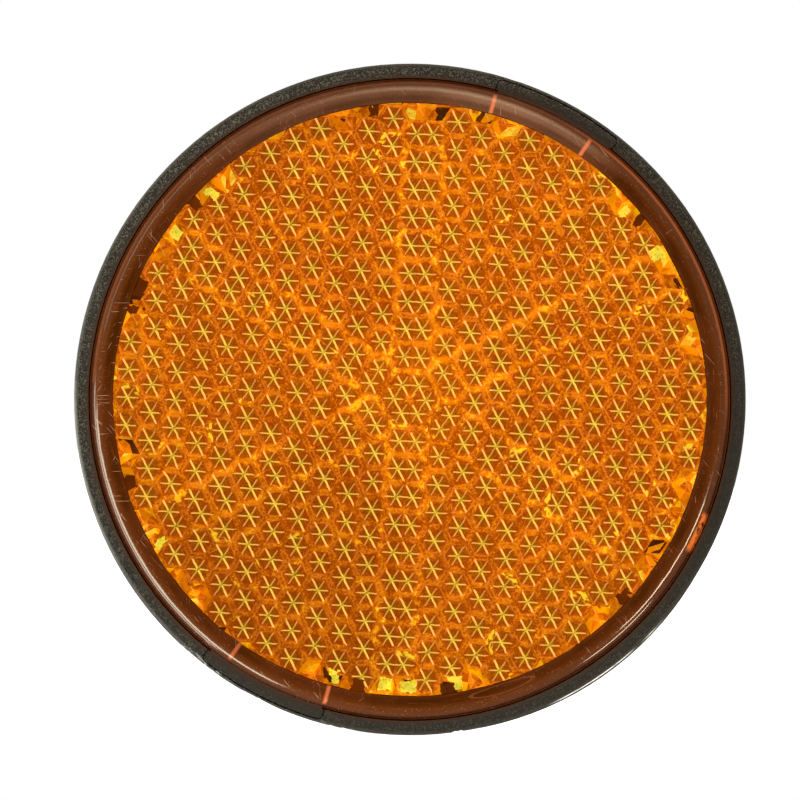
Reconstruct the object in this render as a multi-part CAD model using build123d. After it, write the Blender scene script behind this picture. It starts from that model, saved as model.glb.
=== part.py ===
from build123d import *
import os
from math import atan, cos, degrees, hypot, pi, radians, sin, sqrt, tan

# A round bolt-on reflex reflector: an amber lens snapped into a black cup that hangs on one M5 bolt.
#
# Everything is drawn as it is assembled on the bench, lens up: Z = 0 is the housing's rear land, the
# bolt's thread hangs down along -Z, and angles run anticlockwise as seen from the lens's side, from
# the middle of a prism sector. stand_up() turns the finished pieces so that the lens looks along -Y.

# Housing, a moulded cup
housing_d = 60.0
housing_depth = 9.0  # rear land to the ring's front
wall = 1.3
draft_deg = 2.0  # the outside narrows to the rear, to leave its mould
rim_bevel = 0.35
floor_t = 1.8
rear_recess = 1.2  # the floor stands in from the rear land
rear_relief = 0.3  # the boss stands in from the land too, so the land takes the clamp load
land_w = 4.0
rear_boss_d = 17.0
ledge_w = 2.4  # seat for the seal, inside the wall
ledge_h = 1.0
boss_wall = 1.7  # round the corners of the bolt's head
head_grip = 2.6  # how much of the head's height the boss holds
rib_count = 6
rib_t = 1.3
rib_h = 1.0

# Two snap fingers in the housing's wall, opposite each other
finger_count = 2
finger_span_deg = 23.6
finger_turn_deg = 66.1
finger_free = 4.6  # length that a slot frees to bend
finger_slot = 0.18
finger_skin = 0.27  # wall left outside the slot
finger_corner = 0.5
lip_overhang = 0.22
lip_root = 0.4
lip_inset_deg = 0.4  # from each side of its finger
lip_t = 0.6

# Lens, a moulded disc with a rounded rim and a field of prisms at its back
lens_proud = 1.0  # the face stands out past the ring
lens_play = 0.1  # radial, in the housing
lens_plate = 1.4
rim_w = 1.95
rim_shoulder = 1.0
shoulder_flats = 3  # its rounding is turned as this many flats
flange_w = 0.15
flange_t = 0.8
tongue_count = 2
tongue_span_deg = 19.1
tongue_turn_deg = 68.0
tongue_h = 0.4  # the rim is deeper by this under each finger

# Prisms: hexagonal pins, each ended by a cube's corner, in mirrored sectors
pin_pitch = 2.5  # across the flats
sector_count = 6
pin_root = 0.4  # how far a pin runs up into the plate
pin_past = 0.2  # pins are left out once their axes are this share of the pitch past the rim's wall

# Seal under the lens's rim
seal_t = 1.0
seal_inset = 0.3  # from the rim's inner edge
seal_w = 1.4

# M5 bolt, nut and washers
thread_d = 5.0
thread_pitch = 0.8
hex_af = 8.0
head_h = 3.5
nut_h = 4.0
nut_play = 0.05  # radial, on the plain thread cylinder
hex_chamfer_deg = 30.0
stud_reach = 14.0  # past the rear land
stud_point = 0.5
hole_play = 0.1
head_play = 0.05
washer_d = 10.0
washer_hole_d = 5.3
washer_t = 1.0
spring_hole_d = 5.1
spring_w = 1.8
spring_t = 1.2
spring_gap = 0.5
spring_gap_deg = 20.0

# O-ring squeezed round the bolt, under its head
ring_w = 1.1
ring_t = 0.8
ring_play = 0.03
ring_bevel = 0.25  # stands for the round section
ring_floor = 1.0  # housing left behind it

# Levels, from the rear land up
recess_z = rear_recess
floor_z = recess_z + floor_t
ledge_z = floor_z + ledge_h
rim_z = ledge_z + seal_t
gland_z = rear_relief + ring_floor
head_z = gland_z + ring_t
boss_z = head_z + head_grip
face_z = housing_depth + lens_proud
plate_z = face_z - lens_plate
flange_z = housing_depth - lip_t

# Radii
housing_r = housing_d / 2
bore_r = housing_r - wall
rear_r = housing_r - housing_depth * tan(radians(draft_deg))
flange_r = bore_r - lens_play
rim_r = flange_r - flange_w
field_r = rim_r - rim_w
thread_r = thread_d / 2
head_corner_r = hex_af / sqrt(3)
boss_r = head_corner_r + boss_wall
gland_r = thread_r + ring_w + 2 * ring_play

# A pin's end is the corner of a cube that stands on its diagonal
pin_corner_r = pin_pitch / sqrt(3)
cube_edge = pin_corner_r * sqrt(3 / 2)
pin_h = 2 * cube_edge / sqrt(3)


def turned(*outline):
    """A solid turned about the bolt's axis, from its half section's corners (radius, height)."""
    return revolve(Plane.XZ * make_face(Polyline(*outline, close=True)), Axis.Z)


def tube(inner_r, outer_r, low, high):
    """A plain ring between two heights."""
    return Pos(Z=low) * extrude(Circle(outer_r) - Circle(inner_r), high - low)


def rod(outer_r, low, high):
    """A plain cylinder between two heights."""
    return Pos(Z=low) * extrude(Circle(outer_r), high - low)


def bar(af, low, high):
    """A hexagonal bar, two of its corners on X."""
    return Pos(Z=low) * extrude(RegularPolygon(af / 2, 6, major_radius=False), high - low)


def chamfered(hexagon, af, low, high, ends):
    """The hexagonal bar with its corners turned off at the named ends, as on nuts and bolt heads."""
    reach = 2 * (head_corner_r - af / 2)
    drop = reach * tan(radians(hex_chamfer_deg))
    flat_r = af / 2 * 0.95
    cone_r = flat_r + reach
    foot = (flat_r, low) if "low" in ends else (cone_r, low)
    foot_edge = (cone_r, low + drop) if "low" in ends else (cone_r, low)
    crown_edge = (cone_r, high - drop) if "high" in ends else (cone_r, high)
    crown = (flat_r, high) if "high" in ends else (cone_r, high)
    corners = [(0, low), foot, foot_edge, crown_edge, crown, (0, high)]
    outline = [p for n, p in enumerate(corners) if n == 0 or p != corners[n - 1]]
    return hexagon & turned(*outline)


def arc_block(inner_r, outer_r, span_deg, low, high, corner=0.0):
    """A block bent round the axis, centred on angle 0, with its outer corners rounded."""
    half = radians(span_deg / 2)
    far = 2 * outer_r
    wedge = Polyline((0, 0), (far, -far * tan(half)), (far, far * tan(half)), close=True)
    plan = (Circle(outer_r) - Circle(inner_r)) & make_face(wedge)
    if corner:
        outer = [v for v in plan.vertices() if hypot(v.X, v.Y) > (inner_r + outer_r) / 2]
        plan = fillet(outer, corner)
    return Pos(Z=low) * extrude(plan, high - low)


def around(shape, count, turn_deg):
    """Equal copies of a shape round the axis."""
    return [Rot(Z=turn_deg + 360 * n / count) * shape for n in range(count)]


def housing():
    """Black cup: ring, wall, seal ledge, floor with ribs, boss for the bolt's head, two snap fingers."""
    land_r = rear_r - land_w
    rear_boss_r = rear_boss_d / 2
    cup = turned(
        (0, rear_relief),
        (rear_boss_r, rear_relief),
        (rear_boss_r, recess_z),
        (land_r, recess_z),
        (land_r, 0),
        (rear_r, 0),
        (housing_r, housing_depth - rim_bevel),
        (housing_r - rim_bevel, housing_depth),
        (bore_r, housing_depth),
        (bore_r, ledge_z),
        (bore_r - ledge_w, ledge_z),
        (bore_r - ledge_w, floor_z),
        (boss_r, floor_z),
        (boss_r, boss_z),
        (0, boss_z),
    )
    overlap = 0.5  # each rib runs this far into what it joins
    rear_rib = Pos(X=rear_boss_r - overlap, Z=rear_relief) * Box(
        land_r - rear_boss_r + 2 * overlap,
        rib_t,
        recess_z - rear_relief + overlap,
        align=(Align.MIN, Align.CENTER, Align.MIN),
    )
    inner_rib = Pos(X=boss_r - overlap, Z=floor_z - overlap) * Box(
        bore_r - ledge_w - boss_r + 2 * overlap,
        rib_t,
        rib_h + overlap,
        align=(Align.MIN, Align.CENTER, Align.MIN),
    )
    half_step = 180 / rib_count
    cup += around(rear_rib, rib_count, 0) + around(inner_rib, rib_count, half_step)

    # Each finger is freed by a slot round its back and sides, and its lip hooks over the flange
    inside_r = bore_r - 2 * lens_play
    back_r = housing_r - finger_skin
    foot_z = housing_depth - finger_free
    top_z = housing_depth + 1
    side_deg = degrees(finger_slot / bore_r)
    finger_deg = finger_span_deg - 2 * side_deg
    outside = arc_block(inside_r, back_r, finger_span_deg, foot_z, top_z, finger_corner)
    finger = arc_block(
        inside_r - 1, back_r - finger_slot, finger_deg, foot_z, top_z, finger_corner - finger_slot
    )
    lip = arc_block(
        bore_r - lip_overhang, bore_r + lip_root, finger_deg - 2 * lip_inset_deg, flange_z, housing_depth
    )
    cup -= around(outside - finger, finger_count, finger_turn_deg)
    cup += around(lip, finger_count, finger_turn_deg)

    hole = rod(thread_r + hole_play, -1, head_z)
    gland = rod(gland_r, gland_z, head_z)
    head_pocket = bar(hex_af + 2 * head_play, head_z, boss_z + 1)
    return cup - hole - gland - head_pocket


def pin():
    """One prism pin, its point down: a hexagonal post cut to a cube's corner."""
    post = bar(pin_pitch, 0, pin_h + pin_root)
    cube = Box(3 * pin_pitch, 3 * pin_pitch, 3 * pin_pitch, align=(Align.MIN, Align.MIN, Align.MIN))
    on_corner = Rot(Y=-degrees(atan(sqrt(2)))) * Rot(Z=-45) * cube
    return post & on_corner


def prism_field():
    """All the pins. A sector's rows run along its two seams, so its neighbours are its mirror images."""
    half = pi / sector_count
    rows = int(2 * field_r / pin_pitch) + 2
    pins = []
    for i in range(rows):
        for j in range(rows):
            x = pin_corner_r + (i + j) * pin_pitch * cos(half)
            y = (i - j) * pin_pitch * sin(half)
            if hypot(x, y) < field_r + pin_past * pin_pitch:
                pins.append(Pos(x, y) * pin())
    far = 2 * housing_r
    wedge = make_face(Polyline((0, 0), (far, -far * tan(half)), (far, far * tan(half)), close=True))
    sector = (Part() + pins) & extrude(wedge, pin_h + pin_root)
    sector &= rod(field_r + rim_w / 8, 0, pin_h + pin_root)
    return Part() + around(sector, sector_count, 0)


def lens():
    """Amber disc: flat face, rounded rim, flange under the housing's lips, prisms at the back."""
    turns = [pi / 2 * n / shoulder_flats for n in range(shoulder_flats + 1)]
    shoulder = [
        (rim_r - rim_shoulder * (1 - cos(turn)), face_z - rim_shoulder * (1 - sin(turn))) for turn in turns
    ]
    disc = turned(
        (0, plate_z),
        (field_r, plate_z),
        (field_r, rim_z),
        (rim_r, rim_z),
        (rim_r, flange_z - flange_t),
        (flange_r, flange_z - flange_t),
        (flange_r, flange_z),
        (rim_r, flange_z),
        *shoulder,
        (0, face_z),
    )
    tongue = arc_block(field_r, rim_r, tongue_span_deg, rim_z - tongue_h, rim_z)
    disc += around(tongue, tongue_count, tongue_turn_deg)
    # the deepest valleys between the pins stay half a root below the plate's back
    return disc + Pos(Z=plate_z - pin_h - pin_root / 2) * prism_field()


def lens_seal():
    """Soft ring between the rim and the ledge, thinner where the rim's two tongues press it."""
    inner_r = field_r + seal_inset
    ring = tube(inner_r, inner_r + seal_w, ledge_z, rim_z)
    dent = arc_block(field_r, rim_r, tongue_span_deg, rim_z - tongue_h, rim_z + 1)
    return ring - around(dent, tongue_count, tongue_turn_deg)


def stud_bolt():
    """Hexagon-head bolt, head up in the boss and thread down through the floor."""
    head = chamfered(bar(hex_af, head_z, head_z + head_h), hex_af, head_z, head_z + head_h, ["high"])
    shank = turned(
        (0, head_z + 1),
        (thread_r, head_z + 1),
        (thread_r, stud_point - stud_reach),
        (thread_r - stud_point, -stud_reach),
        (0, -stud_reach),
    )
    return head + shank


def stud_o_ring():
    """Rubber ring squeezed flat between the gland's floor and the bolt's head."""
    inner_r = thread_r + ring_play
    ring = tube(inner_r, inner_r + ring_w, gland_z, head_z)
    return chamfer(ring.edges().filter_by(GeomType.CIRCLE), ring_bevel)


def plain_washer():
    """Flat stamped washer against the rear boss."""
    washer = tube(washer_hole_d / 2, washer_d / 2, rear_relief - washer_t, rear_relief)
    rolled = [e for e in washer.edges().filter_by(GeomType.CIRCLE) if e.radius > washer_d / 3]
    return chamfer(rolled, washer_t / 8)


def spring_washer():
    """Split lock washer, drawn flat as it is under a tight nut."""
    top = rear_relief - washer_t
    outer_r = spring_hole_d / 2 + spring_w
    ring = tube(spring_hole_d / 2, outer_r, top - spring_t, top)
    cut = Box(2 * spring_w, spring_gap, 4 * spring_t)
    middle = Pos(X=spring_hole_d / 2 + spring_w / 2, Z=top - spring_t / 2)
    return ring - middle * Rot(X=spring_gap_deg) * cut


def hex_nut():
    """Hexagon nut, tight against the washers."""
    top = rear_relief - washer_t - spring_t
    low = top - nut_h
    body = chamfered(bar(hex_af, low, top), hex_af, low, top, ["low", "high"])
    return body - rod(thread_r + nut_play, low - 1, top + 1)


def stand_up(shape):
    """From the bench to its mounted pose: the lens looks along -Y and the stud points along +Y."""
    return Rot(X=90) * shape


os.makedirs("parts", exist_ok=True)
pieces = [
    housing,
    lens,
    lens_seal,
    stud_bolt,
    stud_o_ring,
    plain_washer,
    spring_washer,
    hex_nut,
]
for piece in pieces:
    export_step(stand_up(piece()), f"parts/{piece.__name__}.step")
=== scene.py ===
import math

import bmesh
import bpy
from mathutils import Matrix, Vector, noise


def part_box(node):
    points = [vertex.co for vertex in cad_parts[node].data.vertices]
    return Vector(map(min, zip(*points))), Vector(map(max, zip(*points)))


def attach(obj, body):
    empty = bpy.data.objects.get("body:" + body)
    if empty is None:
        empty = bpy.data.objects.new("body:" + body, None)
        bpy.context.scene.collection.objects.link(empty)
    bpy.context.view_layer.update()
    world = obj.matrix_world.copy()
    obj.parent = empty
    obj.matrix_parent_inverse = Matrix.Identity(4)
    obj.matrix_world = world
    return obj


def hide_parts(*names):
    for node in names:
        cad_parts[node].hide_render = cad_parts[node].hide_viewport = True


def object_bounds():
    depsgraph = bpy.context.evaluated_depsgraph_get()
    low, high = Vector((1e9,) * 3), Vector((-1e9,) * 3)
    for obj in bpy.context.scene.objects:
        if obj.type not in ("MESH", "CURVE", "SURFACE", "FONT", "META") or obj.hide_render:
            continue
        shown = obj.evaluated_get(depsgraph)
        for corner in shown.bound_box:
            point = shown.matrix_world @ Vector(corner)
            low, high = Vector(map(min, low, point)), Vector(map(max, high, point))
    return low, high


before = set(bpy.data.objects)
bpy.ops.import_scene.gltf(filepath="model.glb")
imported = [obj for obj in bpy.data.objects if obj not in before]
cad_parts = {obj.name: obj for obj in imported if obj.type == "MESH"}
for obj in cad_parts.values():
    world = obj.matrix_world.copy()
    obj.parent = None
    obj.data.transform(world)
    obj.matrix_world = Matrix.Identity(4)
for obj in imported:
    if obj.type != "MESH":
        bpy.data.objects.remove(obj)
cad_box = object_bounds()

# The studio: a pale table, a white room and six soft lights, with the dark of the camera's own side
# in front of the lens. The reflector stands on its edge and looks at the camera.

MM = 0.001  # the reflector's lengths are in millimetres, the studio's in metres
ring_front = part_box("housing")[0].y
view_distance = 1.0
picture_width = 71.4 * MM  # what the camera sees at the ring
aim_x, aim_z = -0.88 * MM, -0.1 * MM
roll = math.radians(-3.27)

eye = bpy.data.objects.new("camera", bpy.data.cameras.new("camera"))
eye.data.lens = eye.data.sensor_width * view_distance / picture_width
eye.location = (aim_x, ring_front - view_distance, aim_z)
eye.rotation_euler = (math.radians(90), roll, 0)
bpy.context.scene.collection.objects.link(eye)
bpy.context.scene.camera = eye
bpy.context.scene.view_settings.view_transform = "Standard"


def feed(socket, value):
    """Gives a node's input a number, a colour or a wire."""
    if isinstance(value, Wire):
        value.tree.links.new(value.socket, socket)
    elif hasattr(value, "__len__") and len(value) != len(socket.default_value):
        socket.default_value = (*value, 1)
    else:
        socket.default_value = value


class Wire:
    """An output in a node tree. Arithmetic on it adds Math nodes; node() adds any other kind."""

    def __init__(self, tree, socket=None):
        self.tree, self.socket = tree, socket

    def node(self, kind, settings=None, sockets=None, out=0):
        made = self.tree.nodes.new("ShaderNode" + kind)
        for name, value in (settings or {}).items():
            if name == "stops":  # of a ramp, which keeps each colour until the next stop
                made.color_ramp.interpolation = "CONSTANT"
                stops = made.color_ramp.elements
                while len(stops) < len(value):
                    stops.new(1.0)
                for stop, (position, colour) in zip(stops, value):
                    stop.position, stop.color = position, (*colour, 1)
            else:
                setattr(made, name, value)
        for name, value in (sockets or {}).items():
            feed(made.inputs[name], value)
        return Wire(self.tree, made.outputs[out] if made.outputs else None)

    def out(self, name):
        return Wire(self.tree, self.socket.node.outputs[name])

    def math(self, operation, *others):
        return self.node("Math", {"operation": operation}, dict(enumerate((self, *others))))

    def __add__(self, other):
        return self.math("ADD", other)

    def __sub__(self, other):
        return self.math("SUBTRACT", other)

    def __rsub__(self, other):
        return self.node("Math", {"operation": "SUBTRACT"}, {0: other, 1: self})

    def __mul__(self, other):
        return self.math("MULTIPLY", other)

    def __truediv__(self, other):
        return self.math("DIVIDE", other)

    def __mod__(self, other):
        return self.math("FLOORED_MODULO", other)

    def __lt__(self, other):
        return self.math("LESS_THAN", other)

    def __gt__(self, other):
        return self.math("GREATER_THAN", other)

    __radd__, __rmul__ = __add__, __mul__

    def __abs__(self):
        return self.math("ABSOLUTE")

    def ease(self, low, high):
        """0 below low, 1 above high (or the other way round when low is the greater)."""
        lo, hi = min(low, high), max(low, high)
        step = self.node("MapRange", {"interpolation_type": "SMOOTHSTEP"}, {0: self, 1: lo, 2: hi})
        return step if low < high else 1 - step

    def near(self, middle, full, none):
        """1 where this is within full of the middle, easing to 0 at none from it."""
        return abs(self - middle).ease(none, full)

    def tint(self, base, other):
        """The colour base, turning to other as this goes from 0 to 1."""
        return self.node("Mix", {"data_type": "RGBA"}, {0: self, 6: base, 7: other}, out=2)


def finish_for(name):
    """A new material, a wire to start its maths from, and its Principled shader's sockets."""
    material = bpy.data.materials.new(name)
    material.use_nodes = True
    shader = material.node_tree.nodes["Principled BSDF"]
    return material, Wire(material.node_tree), shader.inputs


def plug(inputs, **values):
    """Feeds sockets of a shader by their names, with _ for a space."""
    for name, value in values.items():
        feed(inputs[name.replace("_", " ")], value)


table_half = 2.0
table_front = -0.1  # it ends a little in front of the reflector
table_mesh = bpy.data.meshes.new("table")
table_shape = bmesh.new()
bmesh.ops.create_grid(table_shape, x_segments=1, y_segments=1, size=table_half)
table_shape.to_mesh(table_mesh)
table = bpy.data.objects.new("table", table_mesh)
table.location = (0, table_front + table_half, cad_box[0].z)
bpy.context.scene.collection.objects.link(table)
table_white, wire, inputs = finish_for("table_white")
plug(inputs, Base_Color=(0.9, 0.9, 0.9), Roughness=1.0, Emission_Color=(1, 1, 1), Emission_Strength=1.0)
# the lights reach the reflector from below too, as if it lay on glass
table.visible_glossy = table.visible_diffuse = table.visible_shadow = False
table_mesh.materials.append(table_white)

room = bpy.data.worlds.new("room")
room.use_nodes = True
bpy.context.scene.world = room
wire = Wire(room.node_tree)
walls, dark_side = 0.35, 0.02  # beside the reflector, and behind the camera; behind the reflector it is 1
heading = wire.node("TexCoord", out="Generated")
to_camera = 0 - wire.node("SeparateXYZ", sockets={0: heading}, out="Y")
shade = 1 - to_camera.ease(-0.8, -0.5) * (1 - walls) - to_camera.ease(0.8, 0.95) * (walls - dark_side)
seen_directly = wire.node("LightPath", out="Is Camera Ray")
room_light = room.node_tree.nodes["Background"]
plug(room_light.inputs, Strength=shade.math("MAXIMUM", seen_directly), Color=(1, 1, 1))


def softbox(name, azimuth, off_axis, width, height, watts, colour):
    """A rectangular light. Angles in degrees: azimuth anticlockwise round the lens as the camera
    sees it, off_axis from the camera's direction."""
    away = 0.6
    around, off = math.radians(azimuth), math.radians(off_axis)
    place = Vector((math.cos(around) * math.sin(off), -math.cos(off), math.sin(around) * math.sin(off)))
    lamp = bpy.data.objects.new(name, bpy.data.lights.new(name, "AREA"))
    lamp.data.shape = "RECTANGLE"
    lamp.data.size, lamp.data.size_y = width, height
    lamp.data.energy = watts
    lamp.data.color = colour
    lamp.location = place * away
    # the light's long side lies along the circle round the camera's direction
    side = Vector((-math.sin(around), 0, math.cos(around)))
    up = place.cross(side)
    lamp.rotation_euler = Matrix((side, up, place)).transposed().to_euler()
    lamp.visible_camera = False
    bpy.context.scene.collection.objects.link(lamp)


cool, rosy, rosy_top = (0.92, 1.0, 1.2), (1.0, 0.9, 0.96), (1.0, 0.92, 0.95)
softbox("strip_left", 217, 61, 0.64, 0.16, 4.6, cool)
softbox("strip_left_outer", 208, 82, 0.62, 0.13, 2.2, cool)
softbox("strip_right", 331, 48, 0.22, 0.07, 1.35, rosy)
softbox("strip_right_outer", 315, 77, 0.16, 0.07, 0.8, rosy)
softbox("strip_upper_left", 145, 60, 0.50, 0.07, 0.3, cool)
softbox("softbox_top", 86, 43, 0.26, 0.20, 1.6, rosy_top)


# Housing: a black plastic cup, moulded in one piece, that holds the lens. Its ring shows round the lens,
# with two snap fingers cut free in the wall; ribs and a boss for the bolt's head stand on its floor.

housing_r = 30.0
bore_r = 28.7
edge_round = 0.07
finger_turn = 66.1
finger_slot = 0.18
finger_half = 11.8 - math.degrees(finger_slot / bore_r)  # degrees each side of its middle
finger_back = 29.55
finger_foot = -4.4  # where the slots beside and behind a finger end
finger_grow = 0.09
edge_strip = 0.5  # how wide the rough strip along the ring's outer edge is
edge_drop = 0.6  # and how far it goes down the wall
# bites out of that edge, where it was trimmed and knocked: angle, half width, depth
bites = [(235, 5.0, 0.10), (246, 4.0, 0.14), (262, 3.5, 0.10), (281.5, 1.6, 0.2), (76, 2.0, 0.08)]
trim_depth = 0.012
bulge_turn, bulge_half, bulge = 308, 24, 0.16

soot, charcoal = (0.005, 0.0036, 0.0018), (0.010, 0.0072, 0.0036)
pale_grain, dark_grain = (0.130, 0.113, 0.066), (0.004, 0.003, 0.002)
streak_grey, shaded_black = (0.08, 0.066, 0.044), (0.006, 0.0045, 0.002)
amber_cast, amber_lip = (0.035, 0.009, 0.001), (0.085, 0.020, 0.002)
finger_black, wall_black = (0.012, 0.008, 0.004), (0.012, 0.011, 0.009)
worn_and_lit_grey, torn_grey, edge_highlight_cream = (0.17, 0.155, 0.105), (0.42, 0.41, 0.33), (0.95, 0.93, 0.75)


def cleaned_copy(node):
    """A CAD node's mesh to work on, its triangles joined into the flat faces that they came from."""
    shape = bmesh.new()
    shape.from_mesh(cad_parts[node].data)
    bmesh.ops.remove_doubles(shape, verts=shape.verts, dist=0.0005 * MM)
    bmesh.ops.dissolve_limit(shape, angle_limit=math.radians(1), verts=shape.verts, edges=shape.edges)
    return shape


def piece_from(name, shape, *finishes):
    """An object of the finished shape, smooth over its rounds and flat on faces square to the axis."""
    mesh = bpy.data.meshes.new(name)
    shape.to_mesh(mesh)
    shape.free()
    for finish in finishes:
        mesh.materials.append(finish)
    mesh.set_sharp_from_angle(angle=math.radians(35))  # a round turns by less than this from face to face
    for polygon in mesh.polygons:
        polygon.use_smooth = abs(polygon.normal.y) < 0.9999
    made = bpy.data.objects.new(name, mesh)
    bpy.context.scene.collection.objects.link(made)
    return made


def sharp_edges(shape, faces, least_degrees):
    """The edges between these faces that turn by more than this."""
    chosen = set(faces)
    between = [e for e in shape.edges if len(e.link_faces) == 2 and chosen.issuperset(e.link_faces)]
    return [e for e in between if e.calc_face_angle() > math.radians(least_degrees)]


def off_middle(degrees, middle):
    """Degrees from the nearer of two like places that face each other across the ring."""
    return (degrees - middle + 90) % 180 - 90


def in_slots(vert):
    """Whether a point is on a slot that frees a finger, in front of the slot's end."""
    reach = vert.co.xz.length / MM
    return bore_r + 0.02 < reach < finger_back + finger_slot + 0.03 and vert.co.y < (finger_foot + 0.4) * MM


def at_outer_edge(vert):
    """Whether a point is in the rough strip along the ring's outer edge."""
    return vert.co.y < ring_front + edge_drop * MM and vert.co.xz.length > (housing_r - edge_strip) * MM


cup = cleaned_copy("housing")
slots = {e for e in cup.edges if all(in_slots(v) for v in e.verts)}
bmesh.ops.bevel(
    cup,
    geom=[e for e in sharp_edges(cup, cup.faces, 30) if e not in slots],
    offset=edge_round * MM,
    segments=2,
    profile=0.6,
    affect="EDGES",
    clamp_overlap=True,
)
# the snap fingers stand closer to their slots' walls than the solids do
back_strip, side_strip = 0.4, 0.6  # a finger's back, in mm, and its two sides, in degrees
for vert in cup.verts:
    x, z = vert.co.xz
    reach = vert.co.xz.length / MM
    turn = off_middle(math.degrees(math.atan2(z, x)), finger_turn)
    on_finger = abs(turn) < finger_half + 0.1 and reach < finger_back + 0.02
    on_finger = on_finger and vert.co.y < (finger_foot + 0.1) * MM
    if on_finger and reach > finger_back - back_strip:
        share = max(0, 1 - (finger_back - reach) / back_strip)
        vert.co.xz = vert.co.xz * (1 + finger_grow * share / reach)
    if on_finger and abs(turn) > finger_half - side_strip and reach > bore_r - 0.25:
        side = math.copysign(finger_grow / reach, turn)
        x, z = vert.co.xz
        vert.co.xz = (x * math.cos(side) - z * math.sin(side), x * math.sin(side) + z * math.cos(side))

along_edge = [
    e
    for e in cup.edges
    if all(at_outer_edge(v) for v in e.verts)
    and abs(e.verts[0].co.xz.length - e.verts[1].co.xz.length) < 0.005 * MM
]
bmesh.ops.subdivide_edges(cup, edges=along_edge, cuts=4)
for vert in cup.verts:
    reach = vert.co.xz.length
    if at_outer_edge(vert):
        angle = math.degrees(math.atan2(vert.co.z, vert.co.x)) % 360
        coarse, fine = noise.noise(Vector((angle * 1.3, 0, 0))), noise.noise(Vector((angle * 4.0, 9, 0)))
        rough = coarse * 0.5 + fine * 0.5
        depth = trim_depth * (1 + rough)
        for middle, half_width, bite in bites:
            near = max(0, 1 - (abs(angle - middle) / half_width) ** 2)
            depth += bite * near * max(0, 0.35 + rough)
        # and it stands out a little on the side away from the fingers
        depth -= bulge * max(0, 1 - ((angle - bulge_turn) / bulge_half) ** 2)
        share = (reach / MM - (housing_r - edge_strip)) / edge_strip
        vert.co.xz = vert.co.xz * (1 - depth * share * MM / reach)


def length(x, y):
    return (x * x + y * y).math("SQRT")


def round_the_axis(wire):
    """A point's place, its distance from the bolt's axis in mm, its angle in degrees and its depth."""
    place = wire.node("TexCoord", out="Object")
    x = wire.node("SeparateXYZ", sockets={0: place}, out="X")
    across, back, up = x / MM, x.out("Y") / MM, x.out("Z") / MM
    degrees = up.math("ARCTAN2", across) * (180 / math.pi)
    return place, length(across, up), degrees, back


def speckle(wire, place, scale, detail=2.0):
    """Smooth noise around 0.5 with features of about 1/scale of a metre."""
    return wire.node("TexNoise", sockets={"Vector": place, "Scale": float(scale), "Detail": float(detail)})


def bump(wire, height, depth_mm, strength=1.0):
    """A normal raised by a height of 0 to 1 times depth_mm."""
    return wire.node("Bump", sockets={"Height": height, "Distance": depth_mm * MM, "Strength": strength})


black_plastic, wire, inputs = finish_for("black_plastic")
place, ring_r, angle, back = round_the_axis(wire)
grain = speckle(wire, place, 9500, 1)
stains = speckle(wire, place, 300, 3)
streaks = speckle(wire, wire.node("CombineXYZ", sockets={0: ring_r * 9, 1: angle * 0.35, 2: back}), 1)
on_ring = back.ease(-8.0, -8.6)
body = stains.ease(0.3, 0.7).tint(soot, charcoal)
body = (grain.ease(0.5, 0.66) * 0.75).tint(body, pale_grain)
body = (grain.ease(0.47, 0.33) * 0.9).tint(body, dark_grain)
body = (streaks.ease(0.62, 0.8) * 0.4).tint(body, streak_grey)
# painted light and shade: one side of the ring is lit paler than the other, and it is darker at the right
ring_lit_side = 0.5 - 0.5 * ((angle + 60) * (math.pi / 180)).math("COSINE")
ring_shade = 0.7 - 0.7 * ring_lit_side + angle.near(-10, 8, 32) * 0.25
body = (on_ring * ring_shade).tint(body, shaded_black)
# amber light from the lens lies on the ring's inner edge
body = (on_ring * ring_r.ease(29.1, 28.75) * 0.85).tint(body, amber_cast)
body = (on_ring * ring_r.ease(28.76, 28.66) * 0.8).tint(body, amber_lip)
beside_finger = abs(off_middle(angle, finger_turn)).ease(finger_half + 0.2, finger_half - 0.2)
on_finger = beside_finger * ring_r.ease(finger_back + 0.05, finger_back - 0.1)
body = (on_finger * on_ring * 0.45).tint(body, finger_black)
# outer edge: worn grey with painted light, most on the lit side and the left; torn beside the lower finger
edge_wear_and_light = 0.3 + ring_lit_side + angle.near(-165, 8, 22) * 2.0
worn_and_lit_edge = ring_r.ease(29.7, 29.95) * on_ring * (0.1 + stains * 0.5) * edge_wear_and_light
body = worn_and_lit_edge.tint(body, worn_and_lit_grey)
scuffs = speckle(wire, place, 2400, 3).ease(0.5, 0.62) * ring_r.ease(29.5, 29.75) * angle.near(-125, 3, 7)
body = (scuffs * on_ring * 0.5).tint(body, torn_grey)
# a painted highlight line along the outer edge at the lower right
edge_highlight_line = ring_r.near(29.95, 0.02, 0.07) * on_ring * angle.near(-50, 8, 13) * stains.ease(0.3, 0.5)
body = edge_highlight_line.tint(body, edge_highlight_cream)
body = ((1 - on_ring) * 0.6).tint(body, wall_black)
plug(
    inputs,
    Base_Color=body,
    Roughness=0.62 - worn_and_lit_edge * 0.25 - streaks * 0.1,
    Specular_Tint=(0.97, 0.9, 0.66),
    Specular_IOR_Level=0.4,
    Normal=bump(wire, grain, 0.03, 0.8),
)
housing = piece_from("housing_cup", cup, black_plastic)
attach(housing, "base")
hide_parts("housing")


# Stud: an M5 hexagon-head bolt of zinc-plated steel, head inward, with its rolled thread standing out
# at the back. A rubber O-ring, squeezed under the head, keeps water out of the bolt's hole.

thread_pitch = 0.8
thread_r = 2.5
thread_depth = 0.49
thread_form = [(0.0, 0.0), (0.125, 0.0), (0.4375, 1.0), (0.6875, 1.0)]  # share of the pitch, and depth
plain_neck = 0.4  # under the head, before the thread begins
stud_end = 14.0
stud_point = 0.5
head_under = -2.1
head_top = -5.6
head_dish = 0.12
hex_af = 8.0
hex_flat_r = 0.95 * hex_af / 2  # where the turned-off corners begin
hex_corner_r = 0.985 * hex_af / math.sqrt(3)
hex_drop = math.tan(math.radians(30))
steps_round = 72
o_ring_back, o_ring_front = -1.3, -2.1
o_ring_r = 2.53
o_ring_w = 1.1
o_ring_steps = 24

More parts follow.
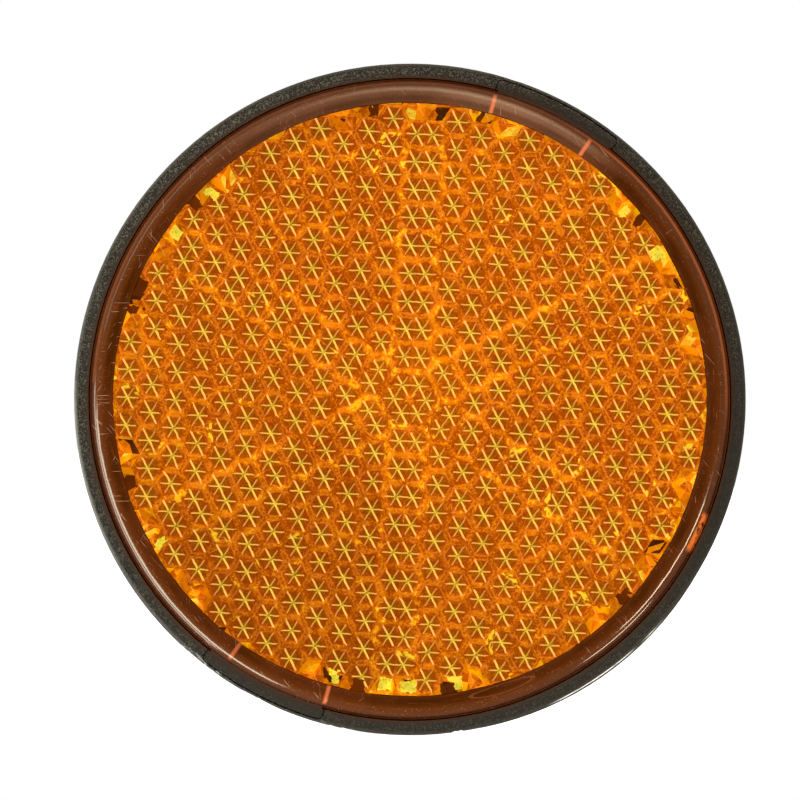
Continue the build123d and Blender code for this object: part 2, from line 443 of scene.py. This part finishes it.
zinc_blue, zinc_grey, pit_grey = (0.44, 0.47, 0.50), (0.66, 0.65, 0.60), (0.20, 0.19, 0.17)
rubber_black, rubber_bloom, rubber_crumb = (0.014, 0.014, 0.015), (0.046, 0.045, 0.042), (0.10, 0.095, 0.085)


def loop(radius, y, steps=steps_round):
    """Points round the bolt's axis. The radius and y are in mm, or functions of the angle from +Z."""
    points = []
    for step in range(steps):
        angle = 2 * math.pi * step / steps
        r = radius(angle) if callable(radius) else radius
        along = y(angle) if callable(y) else y
        points.append(Vector((r * math.sin(angle), along, r * math.cos(angle))) * MM)
    return points


def skin(shape, loops, closed=False):
    """Quads between each loop of points and the next. A closed skin joins its last loop to its first."""
    rows = [[shape.verts.new(point) for point in points] for points in loops]
    for low, high in zip(rows, rows[1:] + rows[:1] if closed else rows[1:]):
        for corners in zip(low, low[1:] + low[:1], high[1:] + high[:1], high):
            shape.faces.new(corners)
    return rows


def hexagon(af, corner_r):
    """The radius of a hexagon, two of its corners on X, as a function of the angle from +Z."""

    def radius(angle):
        from_flat = (angle + math.pi / 6) % (math.pi / 3) - math.pi / 6
        return min(af / 2 / math.cos(from_flat), corner_r)

    return radius


def helix(shape, first, last, radius_at, pitch):
    """A threaded skin between two levels. radius_at gives the radius from the depth share and level.

    Each row of points follows one corner of the thread's form for a turn, so a turn ends on the row
    that lies one pitch further on.
    """
    turns = math.ceil((last - first) / pitch) + 4
    rows = []
    for turn in range(turns):
        for share, depth in thread_form:
            row = []
            for step in range(steps_round):
                angle = 2 * math.pi * step / steps_round
                # the thread's phase is measured from y = 0, so the nut's and the bolt's agree
                level = (math.floor(first / pitch) - 2 + turn + share + step / steps_round) * pitch
                level = min(max(level, first), last)
                r = radius_at(depth, level)
                row.append(shape.verts.new(Vector((r * math.sin(angle), level, r * math.cos(angle))) * MM))
            rows.append(row)
    per_turn = len(thread_form)
    for n in range(len(rows) - per_turn - 1):
        low, high = rows[n], rows[n + 1]
        low_after, high_after = rows[n + per_turn][0], rows[n + 1 + per_turn][0]
        for corners in zip(low, low[1:] + [low_after], high[1:] + [high_after], high):
            shape.faces.new(corners)


def closed_up(shape):
    """The shape with its coincident points joined and its faces turned outward."""
    bmesh.ops.remove_doubles(shape, verts=shape.verts, dist=0.0005 * MM)
    bmesh.ops.dissolve_degenerate(shape, edges=shape.edges, dist=0.0003 * MM)
    bmesh.ops.holes_fill(shape, edges=shape.edges, sides=steps_round)
    bmesh.ops.recalc_face_normals(shape, faces=shape.faces)
    return shape


def stud_radius(depth, level):
    """The thread's form, run out under the head and pointed at the end."""
    runout = min(max((level - head_under - plain_neck) / thread_pitch, 0), 1)
    point_r = thread_r - stud_point + (stud_end - level)
    return min(thread_r - thread_depth * depth * runout, point_r)


stud = bmesh.new()
helix(stud, head_under, stud_end, stud_radius, thread_pitch)
head_side = hexagon(hex_af, hex_corner_r)
skin(
    stud,
    [
        loop(thread_r, head_under),
        loop(head_side, head_under),
        loop(head_side, lambda angle: head_top + (head_side(angle) - hex_flat_r) * hex_drop),
        loop(hex_flat_r, head_top),
        loop(0.8 * hex_flat_r, head_top),
        loop(0.75 * hex_flat_r, head_top + head_dish),
    ],
)

zinc_plate, wire, inputs = finish_for("zinc_plate")
place, from_axis, angle, back = round_the_axis(wire)
clouds = speckle(wire, place, 420, 3)
pits = speckle(wire, place, 5200)
drawn = speckle(wire, wire.node("CombineXYZ", sockets={0: from_axis * 12, 1: angle * 0.03, 2: back * 12}), 1)
body = clouds.ease(0.32, 0.68).tint(zinc_blue, zinc_grey)
body = (pits.ease(0.62, 0.72) * 0.55).tint(body, pit_grey)
plug(
    inputs,
    Base_Color=body,
    Metallic=1.0,
    Roughness=0.22 + clouds * 0.2 + pits.ease(0.55, 0.7) * 0.2,
    Normal=bump(wire, drawn + pits * 0.5, 0.012, 0.4),
)
bolt = piece_from("stud_bolt_m5", closed_up(stud), zinc_plate)
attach(bolt, "base")
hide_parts("stud_bolt")

squeezed = []
for step in range(o_ring_steps):
    around = 2 * math.pi * step / o_ring_steps
    in_out, front_back = math.cos(around), math.sin(around)
    # a round section pressed flat on two sides
    fullness = (abs(in_out) ** 3 + abs(front_back) ** 3) ** (-1 / 3)
    r = o_ring_r + o_ring_w / 2 * (1 + in_out * fullness)
    y = (o_ring_back + o_ring_front) / 2 + (o_ring_back - o_ring_front) / 2 * front_back * fullness
    squeezed.append(loop(r, y))
o_ring_shape = bmesh.new()
skin(o_ring_shape, squeezed, closed=True)

rubber, wire, inputs = finish_for("black_rubber")
place = wire.node("TexCoord", out="Object")
bloom = speckle(wire, place, 500, 3)
crumbs = speckle(wire, place, 6500)
body = bloom.ease(0.4, 0.7).tint(rubber_black, rubber_bloom)
body = (crumbs.ease(0.62, 0.72) * 0.5).tint(body, rubber_crumb)
plug(inputs, Base_Color=body, Roughness=0.55 + bloom * 0.35, Normal=bump(wire, crumbs, 0.02, 0.5))
o_ring = piece_from("stud_o_ring_squeezed", closed_up(o_ring_shape), rubber)
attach(o_ring, "base")
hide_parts("stud_o_ring")


# Seal: a flat ring of soft black rubber between the lens's rim and the ledge inside the cup. The rim's
# two tongues press a dent into it.

seal_inner, seal_outer = 26.8, 28.2
seal_back, seal_front = -4.0, -5.0
seal_round = 0.2
seal_steps = 360
dent_floor = -4.6
dent_margin, dent_slope = 0.4, 0.6  # degrees beyond a tongue's end, and in which the dent rises
tongue_turn = 68.0
tongue_span = 19.1


def oblong(inner, outer, level, other_level):
    """The corners of a ring's section, as (radius, y)."""
    return [(inner, level), (outer, level), (outer, other_level), (inner, other_level)]


def rounded(corners, radius, steps=3):
    """A closed outline of (radius, y) with its corners rounded."""
    corners = [Vector(corner) for corner in corners]
    points = []
    for before, corner, after in zip(corners[-1:] + corners[:-1], corners, corners[1:] + corners[:1]):
        start = corner + (before - corner).normalized() * radius
        end = corner + (after - corner).normalized() * radius
        for step in range(steps + 1):
            t = step / steps
            points.append(start * (1 - t) ** 2 + corner * 2 * t * (1 - t) + end * t**2)
    return points


def pressed(level):
    """The level of the seal at an angle from +Z, down in the dents under the two tongues."""

    def y(angle):
        from_tongue = off_middle(90 - math.degrees(angle), tongue_turn)
        inside = min(max((tongue_span / 2 + dent_margin - abs(from_tongue)) / dent_slope, 0), 1)
        return level + (max(level, dent_floor) - level) * inside

    return y


section = rounded(oblong(seal_inner, seal_outer, seal_back, seal_front), seal_round)
seal_shape = bmesh.new()
skin(seal_shape, [loop(r, pressed(y), seal_steps) for r, y in section], closed=True)
seal = piece_from("lens_seal_ring", closed_up(seal_shape), rubber)
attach(seal, "base")
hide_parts("lens_seal")


# Lens: one amber acrylic moulding with a flat polished face and a rounded rim. Its back is a field of
# hexagonal pins, each ended by a cube's corner that turns light back; it snaps into the housing.

pin_pitch = 2.5
pin_corner = pin_pitch / math.sqrt(3)
cube_slope = 1 / math.sqrt(3)  # a cube's face, standing on its corner, against the axis
sixth = math.radians(60)
rim_r = 28.45
field_r = 26.5
shoulder_r = 1.0
shoulder_flat = math.radians(30)  # the solid's shoulder turns by this from flat to flat
shoulder_cuts = 4
ray_bevel = 0.05
plate_back = ring_front + 0.4 * MM
RIM, FACE, PRISM = 0, 1, 2  # the finishes, in their order on the lens

rim_deep, rim_warm, rim_pale = (0.040, 0.0085, 0.0006), (0.062, 0.0132, 0.002), (0.088, 0.0195, 0.002)
arc_amber, flange_amber = (0.13, 0.027, 0.004), (0.16, 0.038, 0.008)
edge_glow, edge_shade = (0.36, 0.085, 0.018), (0.02, 0.0045, 0.001)
milk_and_highlight, dust_beige, oval_amber = (0.32, 0.155, 0.075), (0.45, 0.25, 0.14), (0.24, 0.07, 0.02)
smear_red, tongue_red = (0.72, 0.15, 0.015), (0.72, 0.165, 0.05)

solid = cleaned_copy("lens")
front = max((f for f in solid.faces if f.normal.y < -0.999), key=lambda f: f.calc_area())

# the shoulder's flats are divided and laid onto a round
arc_centre_r, arc_centre_y = (rim_r - shoulder_r) * MM, front.calc_center_median().y + shoulder_r * MM
flat_edge = 2 * math.sin(shoulder_flat / 2) * shoulder_r * MM


def on_shoulder(vert):
    reach = math.hypot(vert.co.x, vert.co.z)
    return reach > arc_centre_r - 0.01 * MM and vert.co.y < arc_centre_y + 0.01 * MM


def points_outward(edge):
    """Whether an edge runs straight away from the axis."""
    start, end = (v.co.xz.normalized() for v in edge.verts)
    return abs(start.dot(end) - 1) < 1e-6


steep = [
    e
    for e in solid.edges
    if all(on_shoulder(v) for v in e.verts)
    and abs(e.calc_length() - flat_edge) < 0.02 * MM
    and points_outward(e)
]
bmesh.ops.subdivide_edges(solid, edges=steep, cuts=shoulder_cuts, use_grid_fill=True)
for vert in solid.verts:
    if on_shoulder(vert):
        outward = vert.co.xz.normalized()
        from_centre = Vector((vert.co.xz.length - arc_centre_r, vert.co.y - arc_centre_y))
        if from_centre.length > 0.5 * shoulder_r * MM:
            r, y = from_centre.normalized() * shoulder_r * MM
            outer = arc_centre_r + r
            vert.co = Vector((outward.x * outer, arc_centre_y + y, outward.y * outer))

bmesh.ops.inset_region(solid, faces=[front], thickness=(rim_r - shoulder_r - field_r) * MM)
prisms = [f for f in solid.faces if abs(f.normal.y - cube_slope) < 0.02]
for polygon in prisms:
    polygon.material_index = PRISM
front.material_index = FACE
# the plate's back shows the same pattern between the outermost pins
for polygon in solid.faces:
    if polygon.normal.y > 0.999 and abs(polygon.calc_center_median().y - plate_back) < 0.05 * MM:
        polygon.material_index = PRISM
bmesh.ops.bevel(
    solid,
    geom=sharp_edges(solid, prisms, 20),
    offset=ray_bevel * MM,
    segments=1,
    profile=0.5,
    affect="EDGES",
    material=PRISM,
)


def square(value):
    return value * value


def scratches(wire, place, degrees, share):
    """Fine straight scratches that all run at one angle to X."""
    run, across = math.radians(degrees), math.radians(degrees + 90)
    x = wire.node("SeparateXYZ", sockets={0: place}, out="X")
    z = x.out("Z")
    along = (x * math.cos(run) + z * math.sin(run)) * 450
    over = (x * math.cos(across) + z * math.sin(across)) * 9000
    streak = wire.node("CombineXYZ", sockets={0: along, 1: over, 2: float(degrees)})
    return speckle(wire, streak, 1, 1).ease(share, share + 0.05)


rim_amber, wire, inputs = finish_for("amber_rim")
place, ring_r, angle, back = round_the_axis(wire)
haze = speckle(wire, place, 260, 3)
dust = speckle(wire, place, 7000, 1)
arcs = speckle(wire, wire.node("CombineXYZ", sockets={0: ring_r * 4, 1: angle * 0.2, 2: back}), 1)
body = haze.ease(0.35, 0.65).tint(rim_deep, rim_warm)
body = (abs(ring_r - 26.95).ease(0.1, 0.6) * 0.6).tint(body, rim_pale)
body = (arcs.ease(0.55, 0.75) * 0.45).tint(body, arc_amber)
# the flange's edge carries light round the rim, more on one side
lit_side = 0.08 + 0.42 * angle.near(30, 22, 36) + 0.15 * angle.near(115, 70, 115)
edge_light = (ring_r.ease(27.7, 28.3) * 0.15 + ring_r.near(28.26, 0.05, 0.18) * 0.85) * lit_side
body = (ring_r.ease(28.1, 28.25) * ring_r.ease(28.5, 28.42) * (1 - lit_side)).tint(body, edge_shade)
body = edge_light.tint(body, edge_glow)
body = ring_r.ease(28.46, 28.52).tint(body, flange_amber)
# a milky band at the top, with dust in it, and painted light of a broad soft highlight across it
milky_and_lit = angle.near(70, 8, 22) * 0.27 + angle.near(100, 15, 45) * 0.09
milk_and_light_band = 0.35 * ring_r.ease(28.1, 27.9) + 0.7 * ring_r.ease(26.95, 27.3) * ring_r.ease(28.0, 27.8)
body = (milky_and_lit * milk_and_light_band * (0.3 + haze * 0.6 + dust * 0.8)).tint(body, milk_and_highlight)
# an oval flow mark at the bottom
oval = square((angle + 69) / 6.2) + square((ring_r - 27.05) / 0.38)
body = (oval.near(1, 0.08, 0.22) * 0.35).tint(body, oval_amber)
# scratches all round, with more of them at the left
scratched = scratches(wire, place, 97, 0.72).math("MAXIMUM", scratches(wire, place, 38, 0.75))
scratched = scratched.math("MAXIMUM", scratches(wire, place, 133, 0.7)) * haze.ease(0.4, 0.6)
scuffed = (scratches(wire, place, 4, 0.69) + scratches(wire, place, 61, 0.7)).math("MINIMUM", 1.0)
scratched = scratched.math("MAXIMUM", scuffed * abs(angle).ease(140, 165) * ring_r.ease(28.0, 27.7))
body = (scratched * 0.5 + dust.ease(0.68, 0.76) * 0.3).tint(body, dust_beige)
# a red mark in the rim at the right
fleck = (haze * 0.3 + speckle(wire, place, 2300) * 0.7).ease(0.4, 0.52)
fleck = angle.near(-21.6, 3.0, 4.2) * ring_r.ease(27.9, 28.1) * fleck
body = (fleck * 0.85).tint(body, smear_red)
# the sides of the two tongues glow through the rim
from_side = abs(abs(off_middle(angle, tongue_turn)) - tongue_span / 2) * ring_r * (math.pi / 180)
tongue_glow = from_side.ease(0.26, 0.06) * ring_r.ease(26.4, 26.6) * ring_r.ease(28.35, 28.0)
body = (tongue_glow * (0.15 + haze * 0.5 + (angle > 0) * 0.25)).tint(body, tongue_red)
# painted light: the rim also gives off light of its own, in the colour that it is painted
plug(
    inputs,
    Base_Color=body,
    Roughness=0.11 + scratched * 0.3 + angle.near(95, 20, 55) * (0.16 + dust * 0.2),
    Specular_Tint=(1.0, 0.86, 0.54),
    Emission_Color=body,
    Emission_Strength=0.3,
    Normal=bump(wire, arcs, 0.02, 0.15),
)

clear_face = bpy.data.materials.new("clear_face")
clear_face.use_nodes = True
clear_face.node_tree.nodes.clear()
wire = Wire(clear_face.node_tree)
gloss = wire.node("BsdfGlossy", sockets={"Roughness": 0.03})
clear = wire.node("BsdfTransparent", sockets={"Color": (1, 0.86, 0.55)})
mirrored = wire.node("Fresnel", sockets={"IOR": 1.49})
both = wire.node("MixShader", sockets={0: mirrored, 1: clear, 2: gloss})
wire.node("OutputMaterial", sockets={"Surface": both})

# cubes cut by the field's edge that are lit, and ones that are dark: degrees round the field, half width
lit_corners = [(-148, 0.8), (-103, 0.8), (-92.7, 1.3), (-87.3, 1.4), (-78, 1.0)]
lit_corners += [(33, 1.3), (43, 0.7), (137, 0.8), (147.5, 1.4)]
notches = [(-161, 0.8), (-98, 1.0), (-80.5, 0.9), (-40, 0.9), (41, 0.9)]
notches += [(79, 0.7), (100, 1.0), (140, 1.1), (160, 1.1), (165, 0.8)]

hub_olive, pin_amber, turned_amber = (0.225, 0.118, 0.0), (0.325, 0.072, 0.0), (0.34, 0.145, 0.0)
wedge_red, heart_amber, border_amber = (0.36, 0.058, 0.0), (0.52, 0.18, 0.0), (0.47, 0.12, 0.0)
grit_brown, grit_orange, border_sparkle_gold = (0.22, 0.052, 0.0), (0.75, 0.22, 0.0), (1.0, 0.50, 0.03)
glow_orange, line_peach, dim_brown = (0.88, 0.33, 0.0), (0.95, 0.34, 0.05), (0.12, 0.03, 0.0)
spark_gold, glint_yellow = (1.0, 0.66, 0.02), (1.0, 0.88, 0.05)
ray_straw, ray_cream = (0.88, 0.72, 0.15), (1.08, 0.71, 0.25)
shard_orange, shard_brown, notch_brown = (0.85, 0.30, 0.0), (0.30, 0.08, 0.0), (0.12, 0.027, 0.002)
lemon_bright, lemon_deep = (0.95, 0.98, 0.13), (0.62, 0.58, 0.01)
shards = [
    (0.0, (0.06, 0.016, 0.004)),
    (0.18, (0.40, 0.085, 0.0)),
    (0.36, (0.62, 0.17, 0.0)),
    (0.48, (0.85, 0.33, 0.0)),
    (0.62, (0.98, 0.55, 0.0)),
    (0.7, (1.0, 0.84, 0.08)),
    (0.76, (0.50, 0.11, 0.0)),
]


def cut_corners(wire, turn, corners):
    """1 at each of these places, where a cube is cut by the field's edge."""
    stops = [(0.0, (0, 0, 0))]
    for angle, half_width in corners:
        stops.append(((angle - half_width) / 360 + 0.5, (1, 1, 1)))
        stops.append(((angle + half_width) / 360 + 0.5, (0, 0, 0)))
    return wire.node("ValToRGB", {"stops": stops}, {0: turn / 360 + 0.5})


def luck(wire, row, file, which):
    """A chance between 0 and 1 that is the same all over one pin, facet or wedge."""
    key = wire.node("CombineXYZ", sockets={0: row, 1: file, 2: which})
    return wire.node("TexWhiteNoise", sockets={"Vector": key}, out="Value")


prism_amber, wire, inputs = finish_for("amber_prisms")
place = wire.node("TexCoord", out="Object")
across = wire.node("SeparateXYZ", sockets={0: place}, out="X") / MM
upward = wire.node("SeparateXYZ", sockets={0: place}, out="Z") / MM
cloud, patch = speckle(wire, place, 170), speckle(wire, place, 640)
crumb, grit = speckle(wire, place, 1500), speckle(wire, place, 4200)

# the field's six sectors, each turned by a sixth
sector = (upward.math("ARCTAN2", across) / sixth).math("ROUND")
cosine, sine = (sector * sixth).math("COSINE"), (sector * sixth).math("SINE")
out_along = across * cosine + upward * sine
sideways = upward * cosine - across * sine
seam_gap = out_along * math.sin(sixth / 2) - abs(sideways) * math.cos(sixth / 2)
turned_cubes = abs(sector - (sector / 2).math("ROUND") * 2)  # every second sector's cubes are turned

# the nearest pin in the sector: its row and file are both even or both odd
row_step, side_step = pin_pitch * math.cos(sixth / 2), pin_pitch * math.sin(sixth / 2)
row, file = (out_along - pin_corner) / row_step, sideways / side_step
even_row, even_file = (row / 2).math("ROUND") * 2, (file / 2).math("ROUND") * 2
odd_row = ((row - 1) / 2).math("ROUND") * 2 + 1
odd_file = ((file - 1) / 2).math("ROUND") * 2 + 1
even_gap = square((row - even_row) * row_step) + square((file - even_file) * side_step)
odd_gap = square((row - odd_row) * row_step) + square((file - odd_file) * side_step)
is_odd = odd_gap < even_gap
pin_row = even_row + (odd_row - even_row) * is_odd
pin_file = even_file + (odd_file - even_file) * is_odd

# where a point lies on its pin, from the pin's axis, and on which facet and wedge of it
local_u, local_v = (row - pin_row) * row_step, (file - pin_file) * side_step
dx = local_u * cosine - local_v * sine
dz = local_u * sine + local_v * cosine
axis_gap = length(dx, dz)
steep_line = local_u * math.tan(sixth)
facet = (local_v > 0) * (local_v > steep_line) - (local_v < 0) * (0 - local_v > steep_line)
wedge = (dz.math("ARCTAN2", dx) / sixth).math("FLOOR")
pin_luck = luck(wire, pin_row, pin_file, sector)
facet_luck = luck(wire, pin_row, pin_file, sector * 3 + facet)
wedge_luck = luck(wire, pin_row, pin_file, sector * 7 + wedge)

# painted highlights: each pin's three rays, a little bent: one level, one falling to the right and one
# rising
wobble = wire.node("TexNoise", sockets={"Vector": place, "Scale": 1100.0, "Detail": 1.0}, out="Color")
wobble_x = wire.node("SeparateXYZ", sockets={0: wobble}, out="X")
wobble_z = wobble_x.out("Z")
bent_x = dx + (wobble_x - 0.5) * 0.14 + (pin_luck - 0.5) * 0.05
bent_z = dz + (wobble_z - 0.5) * 0.14
flat = abs(bent_z)
falling = abs(bent_x * math.cos(sixth / 2) + bent_z * 0.5)
rising = abs(bent_x * math.cos(sixth / 2) - bent_z * 0.5)
reach = flat.math("MAXIMUM", falling).math("MAXIMUM", rising) / (pin_pitch / 2)
field_reach = length(across, upward)
heart = field_reach.ease(8.5, 3.0)
tip = axis_gap + (patch - 0.5) * 0.4 + (wedge_luck - 0.5) * 0.25 + heart * 0.13
star = falling.ease(0.12, 0.04) * tip.ease(1.2, 1.05)
star = star.math("MAXIMUM", flat.ease(0.09, 0.03) * tip.ease(1.0, 0.85) * 0.8)
star = star.math("MAXIMUM", rising.ease(0.085, 0.03) * tip.ease(1.1, 0.92) * 0.55)
hub = (axis_gap + (grit - 0.5) * 0.15).ease(0.2, 0.05)
star = star * (1 - hub * (0.2 + pin_luck * 0.6)) * (0.45 + patch * 0.6 + crumb * 0.4)

# light that gathers along the pins' borders and the sectors' seams
border = reach.ease(0.7, 0.98)
line = reach.ease(0.76, 0.84) * reach.ease(0.93, 0.86) * patch.ease(0.35, 0.6)
light_vein = patch.near(0.5, 0.008, 0.03) * reach.ease(0.5, 0.8)
seam = seam_gap.ease(0.95, 1.35) * seam_gap.ease(2.3, 1.9)
flat_border = (flat / (pin_pitch / 2)).ease(0.72, 0.95)
mottle = crumb * 0.45 + patch * 0.3 + grit * 0.25
glow_spread = mottle + seam * 0.07 + heart * 0.045 + flat_border * 0.06 + (cloud - 0.5) * 0.35
glow = reach.ease(0.5, 0.98) * glow_spread.ease(0.45, 0.68) * 0.85
spark_noise = patch * 0.35 + crumb * 0.4 + grit * 0.25 + seam * 0.045 + heart * 0.03
spark = spark_noise.ease(0.58, 0.66) * reach.ease(0.5, 0.9)
glint = (facet_luck > 0.979) * reach.ease(0.5, 0.75) * (crumb * 0.6 + patch * 0.4).ease(0.5, 0.57)

# painted light: each cube olive at its tip, amber further out, yellower in every second sector
body = axis_gap.ease(0.3, 0.9).tint(hub_olive, pin_amber)
body = (turned_cubes * 0.25).tint(body, turned_amber)
# painted light: some wedges redder, the field's middle and the cubes' borders brighter
body = (wedge_luck * axis_gap.ease(0.2, 0.6) * 0.6).tint(body, wedge_red)
body = (heart * 0.3).tint(body, heart_amber)
body = border.tint(body, border_amber)
body = (grit.ease(0.52, 0.35) * 0.5).tint(body, grit_brown)
body = (grit.ease(0.5, 0.7) * 0.35).tint(body, grit_orange)
body = glow.tint(body, glow_orange)
# painted light: bright gold grains along the cubes' borders
body = (grit.ease(0.56, 0.64) * border * 0.35).tint(body, border_sparkle_gold)
body = (line * 0.45 + light_vein * 0.25).math("MINIMUM", 1.0).tint(body, line_peach)
body = spark.tint(body, spark_gold)
body = glint.tint(body, glint_yellow)
# the field is dimmer at its lower left and in every second sector, most of all in one of them
lean = (across * math.cos(4 * sixth) + upward * math.sin(4 * sixth)) / field_r
dull_sector = (1 - turned_cubes) * 0.04 + (abs(sector + 2) < 0.5) * 0.1
dimness = 0.14 * (1 - pin_luck) + lean * 0.08 + dull_sector - (heart + seam) * 0.1
body = dimness.math("MAXIMUM", 0.0).tint(body, dim_brown)
ray = axis_gap.ease(0.2, 0.9).tint(ray_straw, ray_cream)
painted = star.tint(body, ray)

# the cubes that the field's edge cuts show as shards, some lit and some dark
chip = wire.node("TexVoronoi", sockets={"Vector": place, "Scale": 850.0}, out="Color")
chip_luck = wire.node("SeparateXYZ", sockets={0: chip}, out="X") * 0.5 + facet_luck * 0.5
lit_chip = chip_luck > 0.18
shard = wire.node("ValToRGB", {"stops": shards}, {0: chip_luck})
shard = (crumb.ease(0.4, 0.62) * lit_chip * 0.6).tint(shard, shard_orange)
shard = (grit.ease(0.55, 0.7) * 0.4).tint(shard, shard_brown)
edge_r = field_reach + (facet_luck - 0.5) * 0.3 + (crumb - 0.5) * 0.7
edge_turn = upward.math("ARCTAN2", across) * (180 / math.pi) + (facet_luck - 0.5) * 0.9 + (patch - 0.5) * 3
still_lit = cut_corners(wire, edge_turn, lit_corners) * edge_r.ease(25.0, 25.1) * edge_r.ease(26.2, 26.1)
notch = cut_corners(wire, edge_turn, notches) * edge_r.ease(25.4, 25.5)
shard = still_lit.tint(shard, grit.ease(0.5, 0.62).tint(lemon_bright, lemon_deep))
shard = (notch * (1 - still_lit)).tint(shard, notch_brown)
pin_centre = length(across - dx, upward - dz)
broken = pin_centre.ease(field_r - 0.8, field_r - 0.75).math("MAXIMUM", still_lit).math("MAXIMUM", notch)
painted = (broken * (1 - star * 0.3 * lit_chip * (1 - notch))).tint(painted, shard)
# painted light: the prisms give off light of their own in their painted colour, most of their brightness
plug(
    inputs,
    Base_Color=painted,
    Metallic=0.1,
    Roughness=0.25,
    Specular_IOR_Level=0.1,
    Emission_Color=painted,
    Emission_Strength=0.80,
)
lens = piece_from("lens_moulding", solid, rim_amber, clear_face, prism_amber)
for polygon in lens.data.polygons:
    polygon.use_smooth = polygon.material_index == RIM
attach(lens, "base")
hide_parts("lens")


# Washers: a stamped flat one against the cup's rear boss, with its upper edge rolled over by the press,
# and a split spring washer of hardened wire behind it, flat because the nut is tight.

washer_inner, washer_outer = 2.65, 5.0
washer_front, washer_back = -0.3, 0.7
stamped_round = 0.12
washer_steps = 96
spring_inner, spring_outer = 2.55, 4.35
spring_front, spring_back = 0.7, 1.9
spring_round = 0.15
spring_gap = 0.5
spring_slant = math.tan(math.radians(20))
plate_dark, plate_light, rolled_grey = (0.13, 0.125, 0.12), (0.34, 0.34, 0.335), (0.46, 0.45, 0.43)

section = rounded(oblong(washer_inner, washer_outer, washer_front, washer_back), stamped_round)
flat_ring = bmesh.new()
skin(flat_ring, [loop(r, y, washer_steps) for r, y in section], closed=True)
flat_washer = piece_from("plain_washer_m5", closed_up(flat_ring), zinc_plate)
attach(flat_washer, "washers")
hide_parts("plain_washer")

section = rounded(oblong(spring_inner, spring_outer, spring_front, spring_back), spring_round)
coil_rows = []
for step in range(washer_steps + 1):
    points = []
    for r, y in section:
        # the cut is slanted, so each corner of the wire starts and ends at its own angle
        cut = spring_gap / 2 / r
        slant = (y - (spring_front + spring_back) / 2) * spring_slant / r
        angle = slant + cut + (2 * math.pi - 2 * cut) * step / washer_steps
        points.append(Vector((r * math.cos(angle), y, r * math.sin(angle))) * MM)
    coil_rows.append(points)
coil = bmesh.new()
coil_rows = skin(coil, coil_rows)
coil.faces.new(coil_rows[0])
coil.faces.new(coil_rows[-1])

dull_plate, wire, inputs = finish_for("dull_plate")
place, from_axis, angle, back = round_the_axis(wire)
cloudiness = speckle(wire, place, 1500, 3)
rolled = speckle(wire, wire.node("CombineXYZ", sockets={0: from_axis * 16, 1: angle * 0.05, 2: back * 6}), 1)
body = cloudiness.ease(0.35, 0.65).tint(plate_dark, plate_light)
body = (rolled.ease(0.55, 0.8) * 0.4).tint(body, rolled_grey)
plug(
    inputs,
    Base_Color=body,
    Metallic=1.0,
    Roughness=0.36 + cloudiness * 0.22,
    Normal=bump(wire, rolled + cloudiness, 0.012, 0.5),
)
lock_washer = piece_from("spring_washer_m5", closed_up(coil), dull_plate)
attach(lock_washer, "washers")
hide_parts("spring_washer")


# Nut: an M5 hexagon nut of zinc-plated steel, corners turned off at both faces, with a tapped thread
# that fits the stud's, so it climbs the stud as it turns.

nut_front, nut_back = 1.9, 5.9
thread_play = 0.05
mouth_r = 2.65
mouth_slope = 1.0


def tapped_radius(depth, level):
    """The stud's form with play all round it, opened into a cone at both faces of the nut."""
    from_face = min(level - nut_front, nut_back - level)
    return max(thread_r + thread_play - thread_depth * depth, mouth_r - from_face * mouth_slope)


nut_shape = bmesh.new()
helix(nut_shape, nut_front, nut_back, tapped_radius, thread_pitch)
nut_side = hexagon(hex_af, hex_corner_r)
skin(
    nut_shape,
    [
        loop(mouth_r, nut_front),
        loop(hex_flat_r, nut_front),
        loop(nut_side, lambda angle: nut_front + (nut_side(angle) - hex_flat_r) * hex_drop),
        loop(nut_side, lambda angle: nut_back - (nut_side(angle) - hex_flat_r) * hex_drop),
        loop(hex_flat_r, nut_back),
        loop(mouth_r, nut_back),
    ],
)
nut = piece_from("hex_nut_m5", closed_up(nut_shape), zinc_plate)
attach(nut, "nut")
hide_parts("hex_nut")
